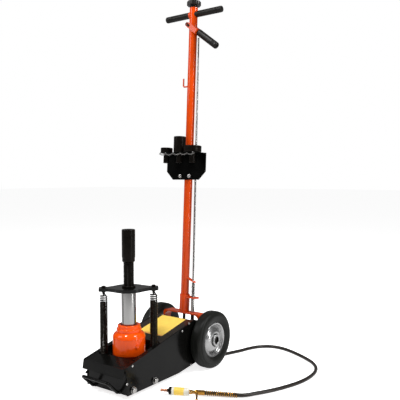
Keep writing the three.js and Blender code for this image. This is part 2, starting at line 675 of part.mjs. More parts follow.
const lock = lockGroup();
const PIN_TOP = LUG_Z + 9 - LOCK_Z;
const LOCK_ROD_TOP = LOCK_TOP_Z - LOCK_Z - 2;   // just short of the lever's grip
piece(lock, 'lock_rod', bar('z', PIN_RADIUS, 0, PIN_TOP, 0, 0, 20)
  .add(bar('z', 3.5, PIN_TOP - 1, LOCK_ROD_TOP, 0, 0, 12)), ZINC);
piece(lock, 'lock_spring', tube('z', 7.6, 4.6, PIN_TOP + GAP, GUIDE_Z - LOCK_Z - 3, 0, 0, 16),
  SPRING_STEEL);

// Lever: a fork over the tube, with its grip drooping to the right.
const lever = new THREE.Group();
lever.position.set(LEVER_X, HANDLE_Y, LEVER_Z);
lever.rotation.y = LEVER_DROOP;
handle.add(lever);

const CHEEK_IN = 15.5;
const CHEEK_OUT = 18.5;
const BRIDGE = 39;

function leverFork() {
  const cheek = outline([
    [-15, -6], [-6, -8.5], [BRIDGE + 5, -9.5], [BRIDGE + 5, 9.5], [-6, 8.5], [-15, 6]]);
  let fork = plateXZ(cheek, CHEEK_IN, CHEEK_OUT);
  fork = fork.add(plateXZ(cheek, -CHEEK_OUT, -CHEEK_IN));
  fork = fork.add(block(BRIDGE, BRIDGE + 5, -CHEEK_OUT, CHEEK_OUT, -9.5, 9.5));
  fork = fork.add(bar('x', 7, BRIDGE + 2, 142, 0, 0, 20));
  return fork.subtract(bar('y', 2.9, -30, 30, 0, 0, 12));
}

piece(lever, 'lock_lever', leverFork(), ORANGE);
piece(lever, 'lever_grip', bar('x', LEVER_GRIP_RADIUS, BRIDGE + 5.4, 147, 0, 0, 24)
  .subtract(bar('x', 7.3, BRIDGE, 142.4, 0, 0, 20)), FOAM);
piece(lever, 'lever_pin', bar('y', 2.5, -21, 21, 0, 0, 12)
  .add(bar('y', 5, -21.5, -18.9, 0, 0, 16)), ZINC);

// ---------------------------------------------------------------- tool tray
const TRAY_BACK = -TUBE_RADIUS + HANDLE_Y - 0.4;
const U_BOLT_X = 20.5;
const U_BOLT_Z = 581;
const TRAY_ADAPTERS = [
  { name: 'tray_adapter_short', x: -62, radius: 22, height: 18 },
  { name: 'tray_adapter_tall', x: -2, radius: 22, height: 57 },
  { name: 'tray_adapter_wide', x: 56, radius: 32, height: 22 },
];

function toolTray() {
  const back = outline([
    [-59, TRAY_BOTTOM], [59, TRAY_BOTTOM], [TRAY_HALF, TRAY_BEND],
    [TRAY_HALF, TRAY_TOP + SHEET], [-TRAY_HALF, TRAY_TOP + SHEET], [-TRAY_HALF, TRAY_BEND],
  ]);
  const shelf = outline([
    [-86, TRAY_BACK - 1], [-86, TRAY_BACK - 10], [-76, -52], [-76, -74], [-70, -80],
    [70, -80], [76, -74], [76, -52], [86, TRAY_BACK - 10], [86, TRAY_BACK - 1]]);
  let tray = plateXZ(back, TRAY_BACK - SHEET, TRAY_BACK);
  tray = tray.add(plateXY(shelf, TRAY_TOP, TRAY_TOP + SHEET));
  for (const { x } of TRAY_ADAPTERS) {
    tray = tray.subtract(
      bar('z', SPIGOT_RADIUS + 0.6, TRAY_TOP - 2, TRAY_TOP + 5, x, TRAY_ADAPTER_Y, 24));
  }
  for (const side of [1, -1]) {
    tray = tray.subtract(bar('y', 4.4, -40, -10, side * U_BOLT_X, U_BOLT_Z, 16));
  }
  return tray;
}

piece(handle, 'tool_tray', toolTray(), BLACK_GLOSS);

function trayBolt() {
  const front = TRAY_BACK - SHEET - 9;
  const back = HANDLE_Y + U_BOLT_X;
  const route = roundedRoute([
    [-U_BOLT_X, front, U_BOLT_Z], [-U_BOLT_X, back, U_BOLT_Z],
    [U_BOLT_X, back, U_BOLT_Z], [U_BOLT_X, front, U_BOLT_Z]], 19);
  let bolt = swept(route, 4, 22, 8);
  for (const side of [1, -1]) {
    const nut = new THREE.CylinderGeometry(7.6, 7.6, 6, 6);
    nut.translate(side * U_BOLT_X, TRAY_BACK - SHEET - 3.4, U_BOLT_Z);
    bolt = bolt.add(solid(nut));
  }
  return bolt;
}

piece(handle, 'tray_u_bolt', trayBolt(), ZINC);

for (const { name, x, radius, height } of TRAY_ADAPTERS) {
  const seat = TRAY_TOP + SHEET + GAP;
  const adapter = turned([
    [0, seat - 38], [SPIGOT_RADIUS - 1, seat - 38], [SPIGOT_RADIUS, seat - 37],
    [SPIGOT_RADIUS, seat], [radius - 1, seat], [radius, seat + 1],
    [radius, seat + height - 1], [radius - 1, seat + height], [0, seat + height],
  ], 28);
  piece(handle, name, adapter.translate([x, TRAY_ADAPTER_Y, 0]), BLACK_STEEL);
}

// ---------------------------------------------------------------- air hose and valve
const HOSE_START = CROSSBAR_REAR + 19.5;
piece(jack, 'hose_gland', bar('y', 9.5, CROSSBAR_REAR + GAP, CROSSBAR_REAR + 8,
  GLAND_X, GLAND_Z, 6)
  .add(bar('y', 6, CROSSBAR_REAR - 5, CROSSBAR_REAR + 2, GLAND_X, GLAND_Z, 20))
  .add(bar('y', 8, CROSSBAR_REAR + 7, HOSE_START - GAP, GLAND_X, GLAND_Z, 20)), BRASS);

const heading = THREE.MathUtils.degToRad(FITTING_ANGLE);
const toFitting = new THREE.Vector3(-Math.cos(heading), -Math.sin(heading), 0);
const HOSE_ROUTE = [
  [70, HOSE_START, 32], [70, 354, 32], [71.5, 370, 27], [76, 387, 18.5],
  [82, 405, 10.5], [89, 426, 6.7], [96, 448, 6.2], [106, 474, 6.2], [116, 502, 6.2],
  [128, 545, 6.2], [146, 583, 6.2], [173, 610, 6.2], [202, 621, 6.2], [236, 620, 6.2],
  [275, 608, 6.2], [317, 588, 6.2], [362, 562, 6.2], [404, 530, 6.2], [433, 492, 6.2],
  [449, 450, 6.2], [455, 404, 6.2], [453, 354, 6.2], [444, 308, 6.2], [433, 273, 6.2],
  [419, 236, 6.2], [403, 200, 6.6], [384, 162, 7.6], [369.5, 133.5, 8.4],
];
const hosePoints = HOSE_ROUTE.map(([x, y, z]) => new THREE.Vector3(x, y, z));
hosePoints.push(FITTING_START.clone().addScaledVector(toFitting, -13));
hosePoints.push(FITTING_START.clone().addScaledVector(toFitting, -GAP));
const hoseCurve = new THREE.CatmullRomCurve3(hosePoints, false, 'centripetal');
piece(jack, 'air_hose', swept(hoseCurve, HOSE_RADIUS, 52, 9), HOSE_RUBBER);

// The fittings lie in one line, from the hose's end to the inlet nipple.
const fittings = new THREE.Group();
fittings.position.copy(FITTING_START);
fittings.rotation.set(0, -THREE.MathUtils.degToRad(FITTING_RISE), Math.PI + heading, 'ZYX');
jack.add(fittings);

piece(fittings, 'hose_guard', bar('x', 8.1, 0, 100, 0, 0, 16), BRASS);
piece(fittings, 'valve_body', bar('x', 8.6, 100.4, 121.6, 0, 0, 6)
  .add(bar('x', 5.4, 120, 149.4, 0, 0, 16))
  .add(bar('x', 7, 141, 149.4, 0, 0, 16)), BRASS);

// The valve's lever stands on a ring that turns about the line of the fittings.
const VALVE_TURN = 96.5;         // degrees, from the fittings' heading
const valve = new THREE.Group();
valve.position.set(126, 0, 0);
valve.rotation.z = THREE.MathUtils.degToRad(VALVE_TURN - 90);
fittings.add(valve);
const ring = tube('x', 8.2, 5.8, -4, 4, 0, 0, 20)
  .rotate([0, 0, 90 - VALVE_TURN]);
piece(valve, 'valve_lever', ring.add(bar('y', 3.2, 7, 62, 0, 0, 12)), BRASS);

piece(fittings, 'filter_body', bar('x', 12.2, 149.8, 205, 0, 0, 24), WHITE_BOWL);
piece(fittings, 'inlet_nipple', bar('x', 11.8, 205.4, 212, 0, 0, 20)
  .add(bar('x', 10, 211, 219, 0, 0, 20, 4.6))
  .add(bar('x', 4.6, 218, 240, 0, 0, 16)), BLACK_STEEL);

export default jack;
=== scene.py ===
"""Looks of a wheeled air-over-hydraulic truck jack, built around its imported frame.

Shapes are written in millimetres in the frame of the CAD and scaled to metres as each
mesh is made. +X is across the wheels, +Y runs back to the handle, +Z is up.
"""
import json
import math

import bmesh
import bpy
from mathutils import Matrix, Vector

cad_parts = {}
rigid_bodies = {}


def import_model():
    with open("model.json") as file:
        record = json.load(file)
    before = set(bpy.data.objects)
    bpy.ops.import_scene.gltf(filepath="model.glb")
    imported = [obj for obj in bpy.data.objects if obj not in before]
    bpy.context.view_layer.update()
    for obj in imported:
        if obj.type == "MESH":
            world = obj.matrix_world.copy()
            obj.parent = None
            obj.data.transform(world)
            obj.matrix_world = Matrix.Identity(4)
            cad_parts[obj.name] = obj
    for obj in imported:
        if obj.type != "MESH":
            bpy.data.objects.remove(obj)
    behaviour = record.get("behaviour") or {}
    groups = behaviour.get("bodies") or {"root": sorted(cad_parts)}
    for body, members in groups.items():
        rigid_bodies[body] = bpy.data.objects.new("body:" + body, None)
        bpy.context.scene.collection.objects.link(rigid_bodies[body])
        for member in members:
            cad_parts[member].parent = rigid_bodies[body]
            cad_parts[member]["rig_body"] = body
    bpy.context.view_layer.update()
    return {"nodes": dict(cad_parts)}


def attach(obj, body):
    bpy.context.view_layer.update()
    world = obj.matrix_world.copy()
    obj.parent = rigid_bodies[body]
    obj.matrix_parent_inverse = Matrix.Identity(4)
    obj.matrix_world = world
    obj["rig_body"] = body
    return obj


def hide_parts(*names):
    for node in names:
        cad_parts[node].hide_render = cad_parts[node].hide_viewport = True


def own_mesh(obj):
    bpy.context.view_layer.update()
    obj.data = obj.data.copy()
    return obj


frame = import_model()

MM = 0.001
TAU = 2 * math.pi

# ------------------------------------------------------------------ places
AXLE = Vector((0, 298, 100))
LEAN = 0.0553
WORLD = Matrix.Identity(4)
HANDLE = Matrix.Translation(AXLE) @ Matrix.Rotation(-LEAN, 4, "X")
HANDLE_Y = -8
LOCK_FOOT = Vector((38, HANDLE_Y, 57.2))
LOCK_TOP = Vector((25.5, HANDLE_Y, 1092))
LOCK_TILT = math.atan2(LOCK_TOP.x - LOCK_FOOT.x, LOCK_TOP.z - LOCK_FOOT.z)
LOCK = HANDLE @ Matrix.Translation(LOCK_FOOT) @ Matrix.Rotation(LOCK_TILT, 4, "Y")
LEVER_DROOP = 0.646
LEVER_PIVOT = Vector((-9, HANDLE_Y, 1136))
LEVER = HANDLE @ Matrix.Translation(LEVER_PIVOT) @ Matrix.Rotation(LEVER_DROOP, 4, "Y")
FITTING_START = Vector((346, 113, 8.7))
FITTING_HEADING = math.radians(180 + 29.5)
FITTING_RISE = math.radians(1.41)
FITTINGS = (Matrix.Translation(FITTING_START)
            @ Matrix.Rotation(FITTING_HEADING, 4, "Z")
            @ Matrix.Rotation(-FITTING_RISE, 4, "Y"))
ALONG_X = Matrix.Rotation(math.pi / 2, 4, "Y")      # turns a shape along Z to lie along X
ALONG_Y = Matrix.Rotation(-math.pi / 2, 4, "X")     # turns a shape along Z to lie along Y


def at(x, y, z):
    return Matrix.Translation((x, y, z))


# ------------------------------------------------------------------ camera
CAMERA_PLACE = Vector((1.24522, -1.31585, 0.67434))
CAMERA_AZIMUTH = math.radians(36.07)
CAMERA_ELEVATION = math.radians(2.26)
CAMERA_ROLL = math.radians(-0.06)
LENS = 50.14


def make_camera():
    back = Vector((
        math.sin(CAMERA_AZIMUTH) * math.cos(CAMERA_ELEVATION),
        -math.cos(CAMERA_AZIMUTH) * math.cos(CAMERA_ELEVATION),
        math.sin(CAMERA_ELEVATION)))
    level = Vector((math.cos(CAMERA_AZIMUTH), math.sin(CAMERA_AZIMUTH), 0))
    up = back.cross(level)
    right = math.cos(CAMERA_ROLL) * level + math.sin(CAMERA_ROLL) * up
    up = back.cross(right)
    data = bpy.data.cameras.new("camera")
    data.lens = LENS
    data.sensor_width = 36
    data.clip_start = 0.05
    camera = bpy.data.objects.new("camera", data)
    turn = Matrix((right, up, back)).transposed().to_4x4()
    camera.matrix_world = Matrix.Translation(CAMERA_PLACE) @ turn
    bpy.context.scene.collection.objects.link(camera)
    bpy.context.scene.camera = camera


make_camera()


# ------------------------------------------------------------------ mesh helpers
DRAWN_CREASE = math.radians(35)     # sharper edges stay creased on a drawn piece
CAD_CREASE = math.radians(32)       # sharper edges are softened on a copied CAD node
FLAT_WITHIN = math.radians(0.6)     # facets this close to flat are one face


def linked(obj):
    bpy.context.scene.collection.objects.link(obj)
    return obj


def join(bm, other):
    """Adds other's mesh to bm."""
    mesh = bpy.data.meshes.new("scratch")
    other.to_mesh(mesh)
    other.free()
    bm.from_mesh(mesh)
    bpy.data.meshes.remove(mesh)
    return bm


def piece(name, bm, body, material, place=WORLD, replaces=()):
    """Makes a riding piece of a bmesh drawn in millimetres in the frame of place."""
    bmesh.ops.recalc_face_normals(bm, faces=bm.faces)
    bm.transform(Matrix.Scale(MM, 4) @ place)
    mesh = bpy.data.meshes.new(name)
    bm.to_mesh(mesh)
    bm.free()
    for polygon in mesh.polygons:
        polygon.use_smooth = True
    mesh.set_sharp_from_angle(angle=DRAWN_CREASE)
    mesh.materials.append(material)
    obj = linked(bpy.data.objects.new(name, mesh))
    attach(obj, body)
    if replaces:
        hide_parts(*replaces)
    return obj


def filleted(profile, radius, steps=3, closed=False):
    """The same outline with its corners rounded by up to radius."""
    points = [Vector(p) for p in profile]
    count = len(points)
    result = []
    for i, corner in enumerate(points):
        if not closed and i in (0, count - 1):
            result.append(corner)
            continue
        before = points[i - 1] - corner
        after = points[(i + 1) % count] - corner
        reach = min(radius, 0.45 * before.length, 0.45 * after.length)
        if reach < 1e-4 or before.angle(after) > math.radians(172):
            result.append(corner)
            continue
        start = corner + before.normalized() * reach
        end = corner + after.normalized() * reach
        for k in range(steps + 1):
            t = k / steps
            result.append((1 - t) ** 2 * start + 2 * t * (1 - t) * corner + t * t * end)
    return [tuple(p) for p in result]


def turned(profile, sides=72, wobble=None, bm=None):
    """Turns [radius, height] points about Z. Ends on the axis close themselves."""
    bm = bm or bmesh.new()
    rings = []
    for k, (radius, height) in enumerate(profile):
        if radius < 1e-6:
            rings.append([bm.verts.new((0, 0, height))])
            continue
        ring = []
        for i in range(sides):
            angle = TAU * i / sides
            shift = wobble(radius, height, angle) if wobble else 0
            r = radius + shift
            ring.append(bm.verts.new((r * math.cos(angle), r * math.sin(angle), height)))
        rings.append(ring)
    for low, high in zip(rings, rings[1:]):
        for i in range(sides):
            j = (i + 1) % sides
            corners = [low[i % len(low)], low[j % len(low)],
                       high[j % len(high)], high[i % len(high)]]
            unique = list(dict.fromkeys(corners))
            if len(unique) > 2:
                bm.faces.new(unique)
    return bm


def ring_turned(profile, sides=72):
    """Turns an outline that closes on itself, such as the section of a sleeve."""
    bm = turned(list(profile) + [profile[0]], sides)
    bmesh.ops.remove_doubles(bm, verts=bm.verts[:], dist=1e-5)
    return bm


def rod(radius, start, end, sides=32, bm=None):
    """A round bar along Z with softened ends."""
    soft = min(0.6, 0.4 * radius, 0.3 * (end - start))
    profile = [(0, start), (radius, start), (radius, end), (0, end)]
    return turned(filleted(profile, soft), sides, bm=bm)


def sleeve(outer, inner, start, end, sides=48, soft=0.5):
    """A short pipe along Z with softened edges."""
    section = [(inner, start), (outer, start), (outer, end), (inner, end)]
    return ring_turned(filleted(section, soft, closed=True), sides)


def loop_points(radius, count):
    """Points evenly round a circle, as (across, up) pairs."""
    return [(radius * math.cos(TAU * i / count), radius * math.sin(TAU * i / count))
            for i in range(count)]


def hexagon(across_corners, start, end, chamfer=1.2, bm=None):
    """A hexagonal head or nut along Z, with its corners turned off at both faces."""
    bm = bm or bmesh.new()
    rings = []
    inner = across_corners / 2 - chamfer
    for radius, height in ((inner, start), (inner + chamfer, start + 0.6 * chamfer),
                           (inner + chamfer, end - 0.6 * chamfer), (inner, end)):
        rings.append([bm.verts.new((
            radius * math.cos(TAU * i / 6), radius * math.sin(TAU * i / 6), height))
            for i in range(6)])
    for low, high in zip(rings, rings[1:]):
        for i in range(6):
            bm.faces.new([low[i], low[(i + 1) % 6], high[(i + 1) % 6], high[i]])
    bm.faces.new(list(reversed(rings[0])))
    bm.faces.new(rings[-1])
    return bm


def tube_along(points, radius, sides=12, closed=False, bm=None):
    """A round tube whose middle follows points, with a frame that never twists."""
    bm = bm or bmesh.new()
    points = [Vector(p) for p in points]
    count = len(points)
    tangents = []
    for i in range(count):
        if closed:
            direction = points[(i + 1) % count] - points[i - 1]
        else:
            direction = points[min(i + 1, count - 1)] - points[max(i - 1, 0)]
        tangents.append(direction.normalized())
    side = tangents[0].orthogonal().normalized()
    rings = []
    for point, tangent in zip(points, tangents):
        side = (side - tangent * side.dot(tangent)).normalized()
        other = tangent.cross(side)
        rings.append([bm.verts.new(
            point + radius * (math.cos(TAU * i / sides) * side
                              + math.sin(TAU * i / sides) * other))
            for i in range(sides)])
    pairs = list(zip(rings, rings[1:]))
    if closed:
        first, last = rings[0], rings[-1]
        nearest = min(range(sides), key=lambda k: (last[0].co - first[k].co).length)
        pairs.append((last, first[nearest:] + first[:nearest]))
    for low, high in pairs:
        for i in range(sides):
            bm.faces.new([low[i], low[(i + 1) % sides], high[(i + 1) % sides], high[i]])
    if not closed:
        bm.faces.new(list(reversed(rings[0])))
        bm.faces.new(rings[-1])
    return bm


def helix(radius, start, end, turns, per_turn=24):
    count = int(turns * per_turn)
    return [(radius * math.cos(TAU * i / per_turn), radius * math.sin(TAU * i / per_turn),
             start + (end - start) * i / count) for i in range(count + 1)]


def smooth_route(points, per_span=8):
    """A centripetal Catmull-Rom curve through the points."""
    points = [Vector(p) for p in points]
    padded = [2 * points[0] - points[1]] + points + [2 * points[-1] - points[-2]]
    result = []
    for p0, p1, p2, p3 in zip(padded, padded[1:], padded[2:], padded[3:]):
        t1 = (p1 - p0).length ** 0.5
        t2 = t1 + (p2 - p1).length ** 0.5
        t3 = t2 + (p3 - p2).length ** 0.5
        for k in range(per_span):
            t = t1 + (t2 - t1) * k / per_span
            a1 = (t1 - t) / t1 * p0 + t / t1 * p1
            a2 = (t2 - t) / (t2 - t1) * p1 + (t - t1) / (t2 - t1) * p2
            a3 = (t3 - t) / (t3 - t2) * p2 + (t - t2) / (t3 - t2) * p3
            b1 = (t2 - t) / t2 * a1 + t / t2 * a2
            b2 = (t3 - t) / (t3 - t1) * a2 + (t - t1) / (t3 - t1) * a3
            result.append((t2 - t) / (t2 - t1) * b1 + (t - t1) / (t2 - t1) * b2)
    result.append(points[-1])
    return result


def refined(node, material, bevel=0.7):
    """A copy of a CAD node with softened edges and smooth round faces, in its place."""
    source = frame["nodes"][node]
    bm = bmesh.new()
    bm.from_mesh(source.data)
    bmesh.ops.remove_doubles(bm, verts=bm.verts, dist=1e-5)
    bmesh.ops.dissolve_limit(bm, angle_limit=FLAT_WITHIN, verts=bm.verts, edges=bm.edges)
    edges = [e for e in bm.edges if e.is_manifold and e.calc_face_angle(0) > CAD_CREASE]
    bmesh.ops.bevel(bm, geom=edges, offset=bevel * MM, segments=2, profile=0.6,
                    affect="EDGES", clamp_overlap=True)
    mesh = bpy.data.meshes.new(node + "_shape")
    bm.to_mesh(mesh)
    bm.free()
    for polygon in mesh.polygons:
        polygon.use_smooth = True
    mesh.set_sharp_from_angle(angle=CAD_CREASE)
    mesh.materials.append(material)
    obj = linked(bpy.data.objects.new(node + "_shape", mesh))
    flat_faces = obj.modifiers.new("flat_faces", "WEIGHTED_NORMAL")
    flat_faces.keep_sharp = True
    flat_faces.weight = 100
    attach(obj, source["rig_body"])
    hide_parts(node)


def surface(name, color, other, roughness, metallic=0.0, patch=40, grain=900,
            bump=0.02, spread=0.12, specular=0.2, stretch=(1, 1, 1)):
    """Mottled colour at the patch scale, uneven gloss, and fine grain as bump."""
    material = bpy.data.materials.new("look_" + name)
    material.use_nodes = True
    nodes = material.node_tree.nodes
    links = material.node_tree.links
    shader = nodes["Principled BSDF"]
    shader.inputs["Metallic"].default_value = metallic
    shader.inputs["Specular IOR Level"].default_value = specular
    coordinates = nodes.new("ShaderNodeTexCoord")
    mapping = nodes.new("ShaderNodeMapping")
    mapping.inputs["Scale"].default_value = stretch
    links.new(coordinates.outputs["Object"], mapping.inputs["Vector"])

    def noise_texture(scale, detail, rough):
        texture = nodes.new("ShaderNodeTexNoise")
        texture.inputs["Scale"].default_value = scale
        texture.inputs["Detail"].default_value = detail
        texture.inputs["Roughness"].default_value = rough
        links.new(mapping.outputs["Vector"], texture.inputs["Vector"])
        return texture

    mottle = noise_texture(patch, 5, 0.6)
    ramp = nodes.new("ShaderNodeValToRGB")
    ramp.color_ramp.elements[0].position = 0.35
    ramp.color_ramp.elements[0].color = (*color, 1)
    ramp.color_ramp.elements[1].position = 0.75
    ramp.color_ramp.elements[1].color = (*other, 1)
    links.new(mottle.outputs["Fac"], ramp.inputs["Fac"])
    links.new(ramp.outputs["Color"], shader.inputs["Base Color"])
    gloss = noise_texture(patch * 2.3, 4, 0.55)
    span = nodes.new("ShaderNodeMapRange")
    span.inputs["From Min"].default_value = 0.3
    span.inputs["From Max"].default_value = 0.7
    span.inputs["To Min"].default_value = max(0.03, roughness - spread / 2)
    span.inputs["To Max"].default_value = min(1, roughness + spread / 2)
    links.new(gloss.outputs["Fac"], span.inputs["Value"])
    links.new(span.outputs["Result"], shader.inputs["Roughness"])
    fine = noise_texture(grain, 3, 0.5)
    relief = nodes.new("ShaderNodeBump")
    relief.inputs["Strength"].default_value = bump
    relief.inputs["Distance"].default_value = 0.001
    links.new(fine.outputs["Fac"], relief.inputs["Height"])
    links.new(relief.outputs["Normal"], shader.inputs["Normal"])
    return material


ORANGE = surface("orange_enamel", (0.6, 0.056, 0.002),
                 (0.5, 0.042, 0.0015), 0.12, patch=14, grain=260, bump=0.006, spread=0.05,
                 specular=0.25)
BRIGHT_ORANGE = surface("orange_gloss", (0.88, 0.086, 0.002),
                        (0.8, 0.072, 0.002), 0.11, patch=18, grain=240, bump=0.004,
                        spread=0.05, specular=0.3)
BLACK = surface("black_enamel", (0.0025, 0.0025, 0.0023),
                (0.005, 0.005, 0.0045), 0.18, patch=12, grain=220, bump=0.015,
                spread=0.06, specular=0.11)
GLOSSY_BLACK = surface("plate_enamel", (0.002, 0.002, 0.0018),
                       (0.004, 0.004, 0.0036), 0.12, patch=20, grain=160, bump=0.01,
                       spread=0.05, specular=0.2)
TRAY_BLACK = surface("tray_enamel", (0.001, 0.001, 0.0008),
                     (0.002, 0.002, 0.0018), 0.26, patch=16, grain=260, bump=0.03,
                     specular=0.06)
COVER = surface("cover_enamel", (0.016, 0.011, 0.008),
                (0.024, 0.017, 0.012), 0.24, patch=10, grain=240, bump=0.03, specular=0.24)
# Orange enamel darkened to a dark red as painted shade, for the base block and air motor, which
# sit in shadow inside the frame.
ORANGE_IN_PAINTED_SHADE = surface("orange_in_painted_shade", (0.09, 0.006, 0.002),
                  (0.05, 0.004, 0.002), 0.38, patch=30, grain=500, bump=0.3, specular=0.2)
OXIDE = surface("black_oxide", (0.0035, 0.0025, 0.0018),
                (0.008, 0.006, 0.0045), 0.3, metallic=0.25, patch=60, grain=900, bump=0.05,
                specular=0.1)
SPRING = surface("spring_wire", (0.008, 0.0065, 0.005),
                 (0.018, 0.014, 0.01), 0.24, metallic=0.6, patch=120, grain=1200, bump=0.04)
CHROME = surface("ground_chrome", (0.35, 0.345, 0.34), (0.25, 0.245, 0.24),
                 0.16, metallic=1.0, patch=22, grain=600, bump=0.006, spread=0.06,
                 stretch=(1, 1, 0.12))
ZINC = surface("zinc_plate", (0.42, 0.41, 0.4), (0.34, 0.33, 0.32), 0.26,
               metallic=1.0, patch=35, grain=300, bump=0.001, spread=0.06)
PRESSED = surface("pressed_zinc", (0.44, 0.44, 0.44), (0.3, 0.3, 0.3), 0.27,
                  metallic=1.0, patch=14, grain=120, bump=0.001, spread=0.06)
SEAL = surface("seal_rubber", (0.006, 0.006, 0.006),
               (0.01, 0.01, 0.01), 0.5, patch=60, grain=900, bump=0.05, specular=0.15)
TYRE = surface("tyre_rubber", (0.005, 0.0055, 0.0045),
               (0.01, 0.011, 0.009), 0.42, patch=22, grain=500, bump=0.06, specular=0.16)
FOAM = surface("grip_rubber", (0.004, 0.0035, 0.003),
               (0.007, 0.006, 0.005), 0.42, patch=60, grain=1500, bump=0.25, specular=0.2)
KNOB = surface("knob_plastic", (0.008, 0.007, 0.006),
               (0.012, 0.011, 0.01), 0.3, patch=50, grain=1400, bump=0.08, specular=0.25)
BRASS = surface("brass", (0.44, 0.23, 0.045), (0.32, 0.15, 0.028), 0.22,
                metallic=1.0, patch=120, grain=900, bump=0.02)
HOSE = surface("hose_rubber", (0.012, 0.009, 0.007),
               (0.022, 0.017, 0.013), 0.32, patch=40, grain=900, bump=0.08, specular=0.3)
BOWL = surface("milky_plastic", (0.7, 0.68, 0.6), (0.6, 0.57, 0.49),
               0.22, patch=60, grain=900, bump=0.02, specular=0.35)
YELLOW = surface("label_yellow", (0.86, 0.6, 0.11), (0.78, 0.52, 0.09),
                 0.34, patch=60, grain=900, bump=0.02)
LABEL_EDGE = surface("label_edge", (0.75, 0.3, 0.1), (0.68, 0.25, 0.08),
                     0.35, patch=60, grain=900, bump=0.02)
COPPER = surface("copper", (0.5, 0.24, 0.15), (0.38, 0.17, 0.1), 0.26,
                 metallic=1.0, patch=120, grain=900, bump=0.02)


# ------------------------------------------------------------------ air hose
HOSE_RADIUS = 6
HOSE_START = 345.5
HOSE_ROUTE = [
    (70, HOSE_START, 32), (70, 354, 32), (71.5, 370, 27), (76, 387, 18.5),
    (82, 405, 10.5), (89, 426, 6.7), (96, 448, 6.2), (106, 474, 6.2), (116, 502, 6.2),
    (128, 545, 6.2), (146, 583, 6.2), (173, 610, 6.2), (202, 621, 6.2), (236, 620, 6.2),
    (275, 608, 6.2), (317, 588, 6.2), (362, 562, 6.2), (404, 530, 6.2), (433, 492, 6.2),
    (449, 450, 6.2), (455, 404, 6.2), (453, 354, 6.2), (444, 308, 6.2), (433, 273, 6.2),
    (419, 236, 6.2), (403, 200, 6.6), (384, 162, 7.6), (369.5, 133.5, 8.4),
]
GUARDED = (0, 30, 65, 100)      # the hose runs on inside its guard to the valve
TOWARDS_FITTINGS = Vector((math.cos(FITTING_HEADING), math.sin(FITTING_HEADING), 0))


def air_hose():
    route = [Vector(p) for p in HOSE_ROUTE]
    route.append(FITTING_START - 13 * TOWARDS_FITTINGS)
    route += [FITTINGS @ Vector((s, 0, 0)) for s in GUARDED]
    path = smooth_route(route, 6)
    hose = piece("air_hose_rubber", tube_along(path, HOSE_RADIUS, 20), "frame", HOSE,
                 replaces=["air_hose"])
    return hose, [p * MM for p in path]


def hose_guard():
    """Brass coil spring that keeps the end of the hose from kinking."""
    bm = tube_along(helix(7.5, 1.5, 98.5, 16, 28), 1.35, 8)
    bm.transform(ALONG_X)
    return [piece("hose_guard_coil", bm, "frame", BRASS, FITTINGS, ["hose_guard"])]


def valve_and_filter():
    made = []

    def add(name, bm, material, body="frame", replaces=(), place=FITTINGS):
        bm.transform(ALONG_X)
        made.append(piece(name, bm, body, material, place, replaces))

    body = hexagon(17, 100.4, 121.6, 1.1)
    turned(filleted([(0, 121), (6.6, 121), (6.6, 122.4), (5.3, 122.6), (5.3, 139),
                     (6.9, 141), (6.9, 148.8), (6.2, 149.4), (0, 149.4)], 0.5), 40, bm=body)
    add("valve_body_brass", body, BRASS, replaces=["valve_body"])
    bowl = [(0, 149.9), (9, 149.9), (11.2, 151.4), (12.1, 154), (12.1, 163.5),
            (11.5, 164.4), (11.5, 198), (12.1, 199), (12.1, 203.6), (10, 205), (0, 205)]
    add("filter_bowl", turned(filleted(bowl, 0.8), 56), BOWL, replaces=["filter_body"])
    add("filter_band", sleeve(11.95, 11.4, 165.6, 196.4, 56, 0.2), YELLOW)
    nipple = [(0, 205.4), (11.2, 205.4), (11.7, 206), (11.7, 211.6), (10.4, 213),
              (7.4, 214.6), (5.2, 215.4)]
    add("inlet_collar", turned(filleted(nipple + [(5.2, 218), (0, 218)], 0.4), 48), OXIDE,
        replaces=["inlet_nipple"])
    tip = [(0, 217.5), (4.6, 217.5), (4.6, 221), (3.9, 221.8), (3.9, 223.4), (4.6, 224.2),
           (4.6, 229), (3.7, 230), (3.7, 232.6), (4.6, 233.6), (4.6, 238.6), (3.6, 240),
           (2.4, 240), (2.4, 230), (0, 230)]
    add("inlet_tip", turned(filleted(tip, 0.35), 36), COPPER)
    bail = tube_along([(0, 12.3 * y, 146.5 + 8.5 * x) for x, y in loop_points(1, 40)],
                      0.8, 8, closed=True)
    bail.transform(Matrix.Rotation(0.35, 4, "Z"))
    add("filter_bail", bail, ZINC)
    return made


def valve_lever():
    """The arm that turns the valve, with the collar that it grows from."""
    place = FITTINGS @ at(126, 0, 0)
    bm = sleeve(8.2, 5.8, -4, 4, 40, 0.5)
    bm.transform(ALONG_X)
    arm = turned(filleted([(0, 7.2), (4.4, 7.2), (4.4, 11.4), (3.1, 12.6), (3.1, 58),
                           (4.1, 59), (4.1, 61.4), (3.2, 62), (0, 62)], 0.5), 28)
    arm.transform(Matrix.Rotation(math.radians(6.5), 4, "Z") @ ALONG_Y)
    join(bm, arm)
    return piece("valve_lever_brass", bm, "valve", BRASS, place, ["valve_lever"])


def gland():
    """Brass fitting on the crossbar that the hose leaves from."""
    bm = hexagon(19, 0.3, 8, 1.1)
    rod(5.8, -5, 1, 24, bm=bm)
    turned(filleted([(0, 7), (8, 7), (8, 15), (7, 19.2), (0, 19.2)], 0.6), 36, bm=bm)
    bm.transform(ALONG_Y)
    piece("hose_gland_brass", bm, "frame", BRASS, at(70, 326, 32), ["hose_gland"])


hose, hose_path = air_hose()
hose_fittings = [*hose_guard(), *valve_and_filter(), valve_lever()]
gland()


# ------------------------------------------------------------------ frame
FRAME_HALF = 89
EDGE_HEIGHT = 124.8
EDGE_SLOPE = 0.2185


def edge(y):
    """Height of the side plates' sloping top edge."""
    return EDGE_HEIGHT + EDGE_SLOPE * y


def outward(side):
    """Turns a shape along +Z so that it points out of the right or left side."""
    return ALONG_X if side > 0 else Matrix.Rotation(math.pi, 4, "Z") @ ALONG_X


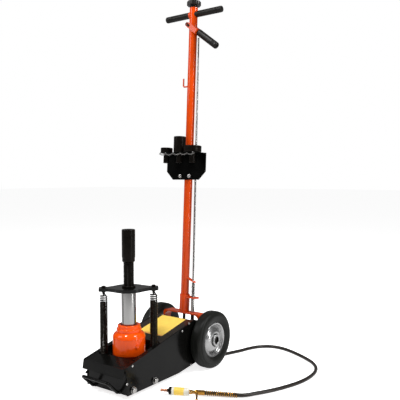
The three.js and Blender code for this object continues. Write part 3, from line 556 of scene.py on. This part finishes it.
refined("side_plate_right", BLACK, bevel=0.9)
refined("side_plate_left", BLACK, bevel=0.9)
refined("front_cover", BLACK, bevel=0.8)
refined("front_plate", BLACK, bevel=0.6)
refined("rear_crossbar", BLACK, bevel=0.8)
refined("top_cover", COVER, bevel=0.8)
refined("detent_quadrant", OXIDE, bevel=0.5)
# The base block and air motor take the orange enamel darkened as painted shade.
refined("base_block", ORANGE_IN_PAINTED_SHADE, bevel=1.2)
refined("pressure_cylinder", OXIDE, bevel=0.5)
refined("release_shaft", ZINC, bevel=0.5)
refined("air_motor", ORANGE_IN_PAINTED_SHADE, bevel=1.0)


def front_handle():
    route = filleted([(-53, -100.8, 20), (-53, -110, 20), (-55, -152, 61),
                           (55, -152, 61), (53, -110, 20), (53, -100.8, 20)], 9, 8)
    bm = tube_along(route, 4.8, 20)
    for x in (-53, 53):
        weld = turned(filleted([(4.6, 0), (7.6, 0), (7, 1.6), (5, 3.2), (4.6, 3.4)], 0.6),
                      28)
        weld.transform(at(x, -100.6, 20) @ Matrix.Rotation(math.pi / 2, 4, "X"))
        join(bm, weld)
    piece("front_handle_rod", bm, "frame", BLACK, replaces=["front_handle"])


front_handle()

BASE_BOLTS = ((-78, 26), (23, 26))
COVER_SCREWS = ((-80, 101), (-104, 52), (168, 153), (206, 171), (214.5, 24.7))


def base_bolts():
    for side, label in ((1, "right"), (-1, "left")):
        for i, (y, z) in enumerate(BASE_BOLTS):
            bm = hexagon(19.2, 2.9, 9.1, 1.5)
            turned(filleted([(0, 8.6), (7.6, 8.6), (7.2, 9.3), (0, 9.3)], 0.2), 32, bm=bm)
            turned(filleted([(0, 0.4), (11, 0.4), (11, 2.9), (0, 2.9)], 0.5), 40, bm=bm)
            bm.transform(Matrix.Rotation(0.3 + 0.4 * i, 4, "Z"))
            place = at(side * FRAME_HALF, y, z) @ outward(side)
            piece(f"bolt_{label}_{i + 1}", bm, "frame", ZINC, place,
                  [f"base_bolt_{label}_{i + 1}"])


def cover_screws():
    """Pan heads with a round hollow in the middle."""
    head = filleted([(4.2, 0.1), (4.2, 1.2), (3.4, 2.1), (1.6, 2.6), (1.0, 1.6), (0, 1.5)],
                    0.5)
    for side, label in ((1, "right"), (-1, "left")):
        bm = bmesh.new()
        for y, z in COVER_SCREWS:
            screw = turned(head, 28)
            screw.transform(at(side * FRAME_HALF, y, z) @ outward(side))
            join(bm, screw)
        piece(f"cover_screws_{label}", bm, "frame", ZINC)


base_bolts()
cover_screws()


def slope_sheet(name, x0, x1, y0, y1, lift, thick, radius, material):
    """A thin rounded sheet that lies on the sloping cover."""
    outline = filleted([(x0, y0), (x1, y0), (x1, y1), (x0, y1)], radius, 6, closed=True)
    bm = bmesh.new()
    low = [bm.verts.new((x, y, edge(y) - 1 + lift)) for x, y in outline]
    high = [bm.verts.new((x, y, edge(y) - 1 + lift + thick)) for x, y in outline]
    bm.faces.new(list(reversed(low)))
    bm.faces.new(high)
    for i in range(len(low)):
        j = (i + 1) % len(low)
        bm.faces.new([low[i], low[j], high[j], high[i]])
    piece(name, bm, "frame", material)


slope_sheet("label", -52, 55, 100, 233, 0.05, 0.25, 4, YELLOW)
slope_sheet("label_edge", -51, 54, 101, 106, 0.28, 0.1, 1.5, LABEL_EDGE)


def copper_line():
    """Oil line from the motor's outlet round the reservoir to a fitting on the base."""
    route = filleted([(66, -14, 52), (66, -14, 84), (62, 14, 92), (40, 66, 92),
                           (-20, 72, 84), (-42, 74, 74)], 12, 6)
    bm = tube_along(route, 2.6, 14)
    piece("oil_line", bm, "frame", COPPER)
    nuts = bmesh.new()
    for z in (42.2, 54):
        nut = hexagon(13, z, z + 9, 0.9)
        nut.transform(at(66, -14, 0))
        join(nuts, nut)
    piece("oil_line_nuts", nuts, "frame", BRASS)


copper_line()


# ------------------------------------------------------------------ hydraulic unit
def hydraulic_unit():
    """Reservoir with its raised bead, top nut, rod wiper and filler plug."""
    shell = [(47, 105), (53, 105), (53, 161), (51.6, 167), (48, 172), (43.4, 176),
             (40.6, 178), (33.2, 178), (37, 173), (44, 166), (47, 160)]
    bm = ring_turned(filleted(shell, 3.5, 4, closed=True), 128)
    bead = tube_along([(x, y, 160) for x, y in loop_points(53, 96)], 0.7, 8, closed=True)
    piece("reservoir_shell", join(bm, bead), "frame", BRIGHT_ORANGE, replaces=["reservoir"])
    nut = [(24.4, 170.3), (32.7, 170.3), (32.7, 178.3), (40.4, 178.3), (40.4, 188),
           (36.8, 189.4), (36.8, 198.6), (35, 200), (24.4, 200)]
    piece("top_nut_body", ring_turned(filleted(nut, 1.2, 4, closed=True), 112), "frame",
          BRIGHT_ORANGE, replaces=["top_nut"])
    wiper = [(24.1, 198), (26.5, 198), (26.5, 200.3), (24.1, 200.8)]
    piece("rod_wiper", ring_turned(filleted(wiper, 0.3, closed=True), 80), "frame", SEAL)
    plug = turned(filleted([(0, 49.5), (4, 49.5), (4, 53.4), (6.5, 53.4), (6.5, 56.4),
                            (4.6, 57), (4.2, 55.8), (0, 55.8)], 0.5), 36)
    plug.transform(ALONG_X)
    turn = at(0, 0, 138) @ Matrix.Rotation(math.radians(-17), 4, "Z")
    piece("filler_plug_body", plug, "frame", BRIGHT_ORANGE, turn, ["filler_plug"])


hydraulic_unit()

RAM_RADIUS = 24
SPRING_X = 59
SPRING_Y = 55
SPRING_WIRE_RADIUS = 1.95
SPRING_ANCHOR = 84              # height of the base's eye, which stays where it is


def thread(major, depth, pitch, start, end, sides=72):
    """Rings of a screw whose crests rise one pitch for each turn."""
    step = pitch / 8
    bm = bmesh.new()
    rings = []
    count = int((end - start) / step)
    for k in range(count + 1):
        height = start + k * step
        fade = min(1, (height - start) / 2, (end - height) / 2)
        ring = []
        for i in range(sides):
            phase = (height / pitch - i / sides) % 1
            cut = max(0, min(1, abs(phase - 0.5) * 5 - 0.6))
            radius = major - depth * (1 - cut) * fade - (1 - fade) * 0.4
            angle = TAU * i / sides
            ring.append(bm.verts.new(
                (radius * math.cos(angle), radius * math.sin(angle), height)))
        rings.append(ring)
    for low, high in zip(rings, rings[1:]):
        for i in range(sides):
            j = (i + 1) % sides
            bm.faces.new([low[i], low[j], high[j], high[i]])
    bm.faces.new(list(reversed(rings[0])))
    bm.faces.new(rings[-1])
    return bm


def ram_parts():
    body = [(17.6, 192), (17.6, 320.8), (21, 320.8), (21, 310), (23.2, 309.6),
            (RAM_RADIUS, 308.6), (RAM_RADIUS, 128), (0, 128)]
    piece("ram_bar", turned(filleted(body, 0.4), 112), "ram_group", CHROME,
          replaces=["ram"])
    refined("piston_seal", SEAL, bevel=0.4)
    collar = [(17.6, 321.3), (22, 321.3), (22, 325), (20.6, 326.4), (17.6, 326.4)]
    piece("screw_collar", ring_turned(filleted(collar, 0.7, closed=True), 72), "ram_group",
          OXIDE, replaces=["ram_collar"])
    refined("spring_plate", GLOSSY_BLACK, bevel=1.6)
    for side, label in ((1, "rear"), (-1, "front")):
        pin = rod(4, 300, 322, 28)
        for bottom, top, size in ((321.3, 326.5, 14), (305.2, 310.2, 13)):
            join(pin, hexagon(size, bottom, top, 1))
        eye = tube_along([(x, 0, 301.4 + z) for x, z in loop_points(3.9, 28)], 1.5, 10,
                         closed=True)
        join(pin, eye)
        place = at(side * SPRING_X, side * SPRING_Y, 0)
        piece(f"spring_pin_{label}_body", pin, "ram_group", OXIDE, place,
              [f"spring_pin_{label}"])


ram_parts()


def return_springs():
    """Close-wound coils with a hook at each end, from the base's eye to the plate's."""
    bottom, top = 95, 296.5
    radius = 11
    turns, per_turn = 41, 22
    coil = []
    for i in range(turns * per_turn + 1):
        t = i / (turns * per_turn)
        looser = 7 * max(0, (t - 0.92) / 0.08)
        height = bottom + (top - bottom - 7) * t + looser
        angle = TAU * i / per_turn
        coil.append((radius * math.cos(angle), radius * math.sin(angle), height))
    start = [(radius * 0.25 * k, -0.6 * (3 - k), SPRING_ANCHOR + 3.6 * k) for k in range(3)]
    finish = [(radius * (0.75 - 0.22 * k), 0.8 * k, top + 1.4 + 1.5 * k) for k in range(4)]
    route = start + coil + finish
    for side, label in ((1, "rear"), (-1, "front")):
        spring = piece(
            f"spring_{label}_coil", tube_along(route, SPRING_WIRE_RADIUS, 9), "frame", SPRING,
            at(side * SPRING_X, side * SPRING_Y, 0), [f"return_spring_{label}"])
        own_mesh(spring)


return_springs()


def screw_and_adapter():
    bm = thread(17.2, 1.3, 4.2, 277, 401.6)
    join(bm, turned(filleted([(0, 275), (15.6, 275), (15.8, 277.2), (0, 277.4)], 0.3), 48))
    piece("screw_body", bm, "screw", OXIDE, replaces=["extension_screw"])
    outer = [(0, 373), (10.4, 373), (11, 374), (11, 402.3), (17.5, 402.3), (20.8, 405.6),
             (20.8, 417), (21.8, 418.2), (21.8, 506.4), (20.4, 509), (12.6, 509),
             (11.4, 507.8), (11.4, 479), (0, 479)]
    piece("adapter_body", turned(filleted(outer, 0.7), 96), "adapter", OXIDE,
          replaces=["extension_adapter"])


screw_and_adapter()


# ------------------------------------------------------------------ wheels
WHEEL_X = 117.5


def wheels():
    """Solid tyres on pressed rims, drawn along the axle with the outer face upwards."""
    half = [(59.8, 11), (60.4, 15.4), (62.4, 18.6), (66, 20.4), (73, 22.9), (80, 24.3),
            (86, 24.3), (87.4, 23.9), (87.8, 22), (90.5, 21.6), (94, 20.4), (97.2, 18),
            (99.2, 14.6), (100, 10.4), (100, 4)]
    tyre = half + [(r, -x) for r, x in reversed(half)]
    bead = [(59.4, -16.6), (60.6, -15.4), (60, -13.6), (51, -11.6), (51, 11.6), (60, 13.6),
            (60.6, 15.6), (59.2, 17)]
    dish = [(57.6, 16.4), (55, 15.6), (52.6, 12), (51.2, 8.4), (49.6, 7)]
    for i in range(19):
        t = i / 18
        dish.append((48 - 23.4 * t, 7.2 + 12.6 * math.sin(math.pi / 2 * t)))
    dish += [(23.6, 19.4), (22.8, 17.4), (22.4, 13.4)]
    hub = [(20.6, 13.6), (20.5, 25.2), (19.6, 26), (14.2, 26), (12.8, 24.8), (12.8, 15.5),
           (10.4, 15.5)]
    back = [(10.4, -23.5), (20.5, -23.5), (20.5, 3), (42, 3), (46, -4), (48.5, -15)]
    rim = filleted(back + bead, 1, 3) + dish + filleted(hub, 0.8, 3)
    for side, label in ((1, "right"), (-1, "left")):
        place = at(side * WHEEL_X, AXLE.y, AXLE.z) @ outward(side)
        piece(f"tyre_{label}_body", ring_turned(filleted(tyre, 0.7, 2, closed=True), 144),
              f"wheel_{label}", TYRE, place, [f"tyre_{label}"])
        piece(f"rim_{label}_body", ring_turned(rim, 112),
              f"wheel_{label}", PRESSED, place, [f"rim_{label}"])
        shroud = sleeve(12.7, 10.6, 15.8, 25.4, 56, 0.4)
        piece(f"hub_seal_{label}", shroud, f"wheel_{label}", SEAL, place)
        refined(f"stub_axle_{label}", OXIDE, bevel=0.8)


wheels()


# ------------------------------------------------------------------ handle
TUBE_RADIUS = 15
TUBE_INSIDE = 12.5
TUBE_FOOT = 87
TUBE_TOP = 1203.5
BAR_Z = 1178                    # height of the T-bar
HOOK_Z = 914


def handle_parts():
    refined("handle_yoke", ORANGE, bevel=1.1)
    refined("handle_socket", ORANGE, bevel=0.8)
    tube = [(TUBE_RADIUS, TUBE_FOOT), (TUBE_RADIUS, TUBE_TOP - 0.9),
            (TUBE_RADIUS - 0.7, TUBE_TOP), (TUBE_INSIDE + 0.3, TUBE_TOP),
            (TUBE_INSIDE, TUBE_TOP - 0.7), (TUBE_INSIDE, TUBE_FOOT)]
    bm = ring_turned(filleted(tube, 0.5, 2, closed=True), 72)
    bm.transform(at(0, HANDLE_Y, 0))
    hook = filleted([(-13, HANDLE_Y, HOOK_Z), (-37, HANDLE_Y, HOOK_Z),
                     (-37, HANDLE_Y, HOOK_Z + 31)], 7, 8)
    join(bm, tube_along(hook, 2.8, 16))
    weld = turned(filleted([(2.6, 12.6), (5.6, 13.6), (4.6, 16), (2.8, 17.4)], 0.5), 24)
    weld.transform(at(0, HANDLE_Y, HOOK_Z) @ outward(-1))
    join(bm, weld)
    bar_boss = sleeve(12.2, 9.2, 8, 17.2, 48, 0.8)
    bar_boss.transform(at(0, HANDLE_Y, BAR_Z) @ outward(-1))
    join(bm, bar_boss)
    join(bm, guide_clip())
    piece("handle_tube_body", bm, "handle", ORANGE, HANDLE, ["handle_tube"])
    refined("t_bar", ORANGE, bevel=0.5)


def guide_clip():
    """A strap welded to the tube that slopes down to the lock rod."""
    low = [(13, 206.4), (29, 199.5), (45, 193)]
    bm = bmesh.new()
    rows = []
    for x, z in low:
        half = 8 if x < 40 else 6.4
        rows.append([bm.verts.new((x, HANDLE_Y + y, z + h))
                     for y, h in ((-half, 0), (half, 0), (half, 3.4), (-half, 3.4))])
    for low_row, high_row in zip(rows, rows[1:]):
        for i in range(4):
            j = (i + 1) % 4
            bm.faces.new([low_row[i], low_row[j], high_row[j], high_row[i]])
    bm.faces.new(list(reversed(rows[0])))
    bm.faces.new(rows[-1])
    bmesh.ops.bevel(bm, geom=bm.edges[:], offset=0.8, segments=2, profile=0.6,
                    affect="EDGES")
    return bm


handle_parts()


def bar_grips():
    """Moulded grips with fine rings and a hollow in the end."""
    for side, start, label in ((1, 9.5, "right"), (-1, 17.6, "left")):
        profile = [(9.3, start), (11.3, start)]
        for k in range(5):
            x = 112 - 3 * k
            profile[2:2] = [(11.4, x - 1.2), (10.9, x - 0.6), (10.9, x), (11.4, x + 0.6)]
        profile += [(11.4, 122.8), (10.6, 125.4), (9.4, 126), (6.2, 126), (5.6, 125.2),
                    (5.2, 124.2), (0, 124.2)]
        bm = turned(filleted(profile, 0.5, 3), 64)
        bm.transform(outward(side))
        piece(f"grip_{label}", bm, "handle", FOAM, HANDLE @ at(0, HANDLE_Y, BAR_Z),
              [f"bar_grip_{label}"])


def knob():
    def lobes(radius, height, angle):
        strength = max(0, (radius - 20) / 5)
        return 0.9 * strength * math.cos(10 * angle)

    profile = [(5.8, 1207.4), (13.4, 1207.4), (13.4, 1211), (20, 1211.6), (24, 1211),
               (25, 1211.8), (25, 1224.6), (24, 1226.6), (19, 1227.6), (10, 1228.3),
               (0, 1228.5)]
    bm = turned(filleted(profile, 0.8, 4), 120, lobes)
    join(bm, sleeve(13.5, 5.8, 1203.9, 1207.4, 56, 0.5))
    bm.transform(at(0, HANDLE_Y, 0))
    piece("knob_body", bm, "release", KNOB, HANDLE, ["release_knob"])
    shaft = rod(5.5, 16, 1213, 28)
    fork = turned(filleted([(0, 14), (8.2, 14), (8.2, 34), (6, 37), (0, 37)], 0.8), 36)
    join(shaft, fork)
    shaft.transform(at(0, HANDLE_Y, 0))
    piece("release_rod_body", shaft, "release", ZINC, HANDLE, ["release_rod"])


def lock_parts():
    """The rod that the lever lifts, with its spring under the guide clip."""
    pin_top = 146 - LOCK_FOOT.z
    top = (LOCK_TOP - LOCK_FOOT).length - 2
    profile = [(0, 0), (5.4, 0), (6.6, 1.6), (6.6, pin_top), (3.5, pin_top + 0.1),
               (3.5, top - 0.6), (2.9, top), (0, top)]
    piece("lock_rod_body", turned(filleted(profile, 0.5), 40), "lock", ZINC, LOCK,
          ["lock_rod"])
    end = 194 - LOCK_FOOT.z - 3
    bm = tube_along(helix(6, pin_top + 1.6, end, 9, 20), 1.15, 8)
    spring = piece("lock_spring_coil", bm, "handle", SPRING, LOCK, ["lock_spring"])
    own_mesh(spring)


def lever_parts():
    refined("lock_lever", ORANGE, bevel=0.7)
    refined("lever_pin", OXIDE, bevel=0.5)
    outer = 12.4
    profile = [(7.3, 44.4), (outer - 0.9, 44.4), (outer, 45.4)]
    for k in range(5):
        x = 124 + 3 * k
        profile += [(outer, x - 1.2), (outer - 0.5, x - 0.6), (outer - 0.5, x),
                    (outer, x + 0.6)]
    profile += [(outer, 143.4), (11, 146.2), (9.4, 147), (5.6, 147), (5, 145), (5, 143),
                (0, 143)]
    bm = turned(filleted(profile, 0.4, 3), 56)
    bm.transform(ALONG_X)
    piece("lever_grip_body", bm, "lever", FOAM, LEVER, ["lever_grip"])
    ring = tube_along([(-9.5 + x, 0, z) for x, z in loop_points(4.2, 30)], 1.5, 10,
                      closed=True)
    ring.transform(at(0, -19.4, 0))
    piece("lever_ring", ring, "lever", OXIDE, LEVER)


bar_grips()
knob()
lock_parts()
lever_parts()


# ------------------------------------------------------------------ tool tray
TRAY_BACK = -23.4
TRAY_TOP = 661
TRAY_FRONT = -80
U_BOLT_X = 20.5
U_BOLT_Z = 581
TRAY_ADAPTERS = (
    ("short", -62, 22, 18),
    ("tall", -2, 22, 57),
    ("wide", 56, 32, 22),
)


def tray():
    refined("tool_tray", TRAY_BLACK, bevel=0.7)
    front = TRAY_BACK - 3 - 9
    route = filleted([(-U_BOLT_X, front, U_BOLT_Z), (-U_BOLT_X, 12.5, U_BOLT_Z),
                           (U_BOLT_X, 12.5, U_BOLT_Z), (U_BOLT_X, front, U_BOLT_Z)], 19, 10)
    bm = tube_along(route, 4, 16)
    for side in (1, -1):
        nut = hexagon(15.2, 0.1, 6.4, 1)
        turned(filleted([(6.4, 6), (6.4, 9), (4.6, 11.6), (0, 12.6)], 1), 28, bm=nut)
        nut.transform(at(side * U_BOLT_X, TRAY_BACK - 3, U_BOLT_Z)
                      @ Matrix.Rotation(math.pi / 2, 4, "X"))
        join(bm, nut)
    piece("tray_bolt", bm, "handle", ZINC, HANDLE, ["tray_u_bolt"])
    for label, x, radius, height in TRAY_ADAPTERS:
        seat = TRAY_TOP + 3.3
        top = seat + height
        profile = [(0, seat - 38), (10, seat - 38), (11, seat - 37), (11, seat),
                   (radius - 1, seat), (radius, seat + 1), (radius, top - 1.4),
                   (radius - 1.4, top), (radius - 5, top), (radius - 6, top - 1.6),
                   (0, top - 1.6)]
        piece(f"adapter_{label}", turned(filleted(profile, 0.5), 72), f"tray_{label}",
              OXIDE, HANDLE @ at(x, -63.8, 0), [f"tray_adapter_{label}"])


def chain():
    """A light chain that hangs in scallops along the front of the tray."""
    posts = (-80, -52, -18, 16, 46, 78)
    path = []
    for left, right in zip(posts, posts[1:]):
        for k in range(10):
            t = k / 10
            path.append(Vector((left + (right - left) * t, TRAY_FRONT - 2.6,
                                TRAY_TOP - 1 - 5 * (1 - (2 * t - 1) ** 2))))
    path.append(Vector((posts[-1], TRAY_FRONT - 2.6, TRAY_TOP - 1)))
    lengths = [0]
    for a, b in zip(path, path[1:]):
        lengths.append(lengths[-1] + (b - a).length)
    pitch = 5.4
    bm = bmesh.new()
    for i in range(int(lengths[-1] / pitch)):
        distance = (i + 0.5) * pitch
        k = max(j for j, value in enumerate(lengths) if value <= distance)
        k = min(k, len(path) - 2)
        t = (distance - lengths[k]) / (lengths[k + 1] - lengths[k])
        centre = path[k].lerp(path[k + 1], t)
        direction = (path[k + 1] - path[k]).normalized()
        other = Vector((0, 1, 0)) if i % 2 else direction.cross(Vector((0, 1, 0)))
        loop = [centre + 3.7 * math.cos(a) * direction + 2.1 * math.sin(a) * other
                for a in [TAU * j / 14 for j in range(14)]]
        tube_along(loop, 0.75, 6, closed=True, bm=bm)
    piece("tray_chain", bm, "handle", ZINC, HANDLE)
    studs = bmesh.new()
    for x in (posts[0], posts[-1]):
        stud = turned(filleted([(0, -3), (1.4, -3), (1.4, 3.6), (3, 3.8), (2.4, 5.2), (0, 5.4)],
                               0.3), 20)
        stud.transform(at(x * 0.93, TRAY_FRONT, TRAY_TOP + 1.4)
                       @ Matrix.Rotation(math.pi / 2, 4, "X"))
        join(studs, stud)
    piece("tray_chain_studs", studs, "handle", ZINC, HANDLE)


tray()
chain()


# ------------------------------------------------------------------ studio
AMBIENT = 0.2                   # the world, to all but the camera, which sees white
FLOOR_HALF = 30                 # metres
FLOOR_Z = -0.0005
FLOOR_GLOW = 0.16               # the floor, to all but the camera
FLOOR_SEEN = 0.78
LAMPS = (                       # name, place, target, width, height, watts
    ("strip_right", (1.6, 0.3, 1.0), (0, 0.3, 0.7), 0.1, 2.0, 11),
    ("key", (-1.6, -1.9, 2.3), (0, 0.2, 0.4), 1.4, 1.4, 33),
    ("spot_front", (-0.1, -0.8, 2.6), (0, 0, 0.2), 0.24, 0.24, 34),
    ("spot_rear", (1.3, 0.5, 2.1), (0, 0, 0.2), 0.3, 0.3, 28),
)


def studio():
    """Plain white backdrop and floor under four soft lamps that the camera doesn't see."""
    scene = bpy.context.scene
    scene.view_settings.view_transform = "Standard"
    world = bpy.data.worlds.new("studio")
    scene.world = world
    world.use_nodes = True
    nodes = world.node_tree.nodes
    links = world.node_tree.links
    background = nodes["Background"]
    path = nodes.new("ShaderNodeLightPath")
    mix = nodes.new("ShaderNodeMix")
    mix.data_type = "RGBA"
    mix.inputs["A"].default_value = (AMBIENT, AMBIENT, AMBIENT, 1)
    mix.inputs["B"].default_value = (1, 1, 1, 1)
    links.new(path.outputs["Is Camera Ray"], mix.inputs["Factor"])
    links.new(mix.outputs["Result"], background.inputs["Color"])

    mesh = bpy.data.meshes.new("floor")
    corners = [(x * FLOOR_HALF, y * FLOOR_HALF, FLOOR_Z)
               for x, y in ((-1, -1), (1, -1), (1, 1), (-1, 1))]
    mesh.from_pydata(corners, [], [(0, 1, 2, 3)])
    floor = linked(bpy.data.objects.new("floor", mesh))
    material = bpy.data.materials.new("floor")
    material.use_nodes = True
    nodes = material.node_tree.nodes
    links = material.node_tree.links
    shader = nodes["Principled BSDF"]
    shader.inputs["Base Color"].default_value = (0.9, 0.9, 0.9, 1)
    shader.inputs["Roughness"].default_value = 0.9
    shader.inputs["Emission Color"].default_value = (1, 1, 1, 1)
    path = nodes.new("ShaderNodeLightPath")
    glow = nodes.new("ShaderNodeMapRange")
    glow.inputs["To Min"].default_value = FLOOR_GLOW
    glow.inputs["To Max"].default_value = FLOOR_SEEN
    links.new(path.outputs["Is Camera Ray"], glow.inputs["Value"])
    links.new(glow.outputs["Result"], shader.inputs["Emission Strength"])
    mesh.materials.append(material)

    for name, place, target, width, height, power in LAMPS:
        data = bpy.data.lights.new(name, "AREA")
        data.shape = "RECTANGLE"
        data.size = width
        data.size_y = height
        data.energy = power
        lamp = linked(bpy.data.objects.new(name, data))
        lamp.location = place
        lamp.visible_camera = False
        aim = Vector(target) - Vector(place)
        lamp.rotation_euler = aim.to_track_quat("-Z", "Y").to_euler()


studio()
